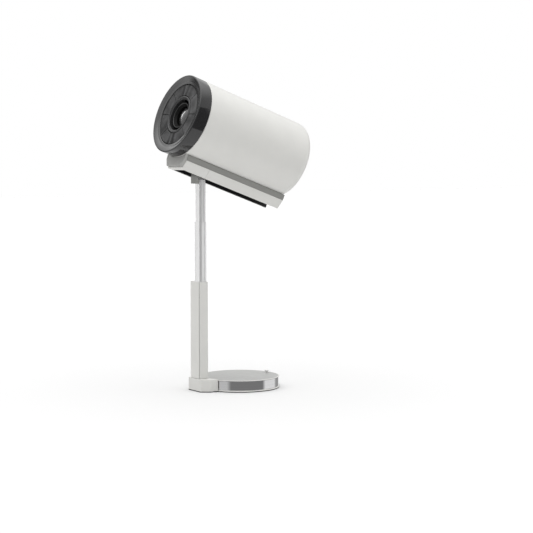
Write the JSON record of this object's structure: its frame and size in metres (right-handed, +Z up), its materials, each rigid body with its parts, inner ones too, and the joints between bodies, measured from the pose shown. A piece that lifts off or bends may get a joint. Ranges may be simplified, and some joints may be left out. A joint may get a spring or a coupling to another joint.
{
  "type": "axial air mover",
  "caption": "Cylindrical axial air mover with a ring outlet, on a tilting cradle, a telescopic mast and a weighted round base.",
  "frame": {"origin": "centre of the round base's underside, on the surface it stands on", "axes": "+Z up, the outlet faces -X, +Y is across the head"},
  "size_m": [0.2331, 0.12, 0.4641],
  "materials": {
    "white_plastic": "satin moulded plastic with a fine even grain",
    "warm_grey_plastic": "matt warm grey moulded plastic",
    "smoked_gloss": "gloss smoked plastic",
    "black_plastic": "black moulded plastic",
    "satin_grey": "satin dark grey plastic",
    "polished_aluminium": "polished drawn tube",
    "chrome": "mirror chrome",
    "light_grey_plate": "satin light grey",
    "steel": "plain steel",
    "rubber": "soft matt rubber",
    "lens_glass": "smoked clear dome",
    "circuit_board": "green solder mask"
  },
  "bodies": {
    "base": {"base_pad": "rubber", "base_pan": "white_plastic", "chrome_band": "chrome", "top_plate": "light_grey_plate", "ballast_plate": "steel", "ballast_screw_1": "steel", "ballast_screw_2": "steel", "ballast_screw_3": "steel", "control_board": "circuit_board", "foot_block": "white_plastic", "foot_pad": "rubber", "outer_sleeve": "white_plastic"},
    "button": {"power_button": "light_grey_plate"},
    "middle": {"middle_tube": "polished_aluminium", "middle_end_plug": "black_plastic"},
    "upper": {"upper_tube": "polished_aluminium", "upper_end_plug": "black_plastic", "tilt_bracket": "warm_grey_plastic"},
    "head": {"tilt_pin": "steel", "friction_washer_left": "steel", "friction_washer_right": "steel", "cradle_saddle": "warm_grey_plastic", "cradle_front_cap": "warm_grey_plastic", "tray_front": "white_plastic", "tray_rear": "white_plastic", "channel_liner": "black_plastic", "body_shell": "white_plastic", "front_bezel": "smoked_gloss", "segment_ring": "satin_grey", "outlet_ring": "satin_grey", "nozzle_duct": "black_plastic", "centre_barrel": "black_plastic", "dome_lens": "lens_glass", "fan_duct": "black_plastic", "guide_vanes": "black_plastic", "motor": "steel", "bearing_front": "steel", "bearing_rear": "steel", "rear_bulkhead": "black_plastic", "rear_grille": "warm_grey_plastic", "grille_screw_1": "steel", "grille_screw_2": "steel", "grille_screw_3": "steel", "grille_screw_4": "steel"},
    "rotor": {"motor_shaft": "steel", "fan_rotor": "satin_grey", "rotor_cap": "steel"}
  },
  "joints": [
    {"name": "middle_slide", "type": "slide", "parent": "base", "child": "middle", "axis": [0, 0, 1], "range_m": [-0.086, 0]},
    {"name": "upper_slide", "type": "slide", "parent": "middle", "child": "upper", "axis": [0, 0, 1], "range_m": [-0.055, 0]},
    {"name": "head_tilt", "type": "hinge", "parent": "upper", "child": "head", "pos_m": [-0.07, 0, 0.31713], "axis": [0, 1, 0], "range_deg": [-35, 70]},
    {"name": "fan_spin", "type": "hinge", "parent": "head", "child": "rotor", "pos_m": [0.01886, 0, 0.36333], "axis": [0.9397, 0, -0.342], "continuous": true},
    {"name": "button_press", "type": "slide", "parent": "base", "child": "button", "axis": [0, 0, -1], "range_m": [0, 0.0015], "stiffness_N_per_m": 600, "springref_m": -0.001}
  ]
}
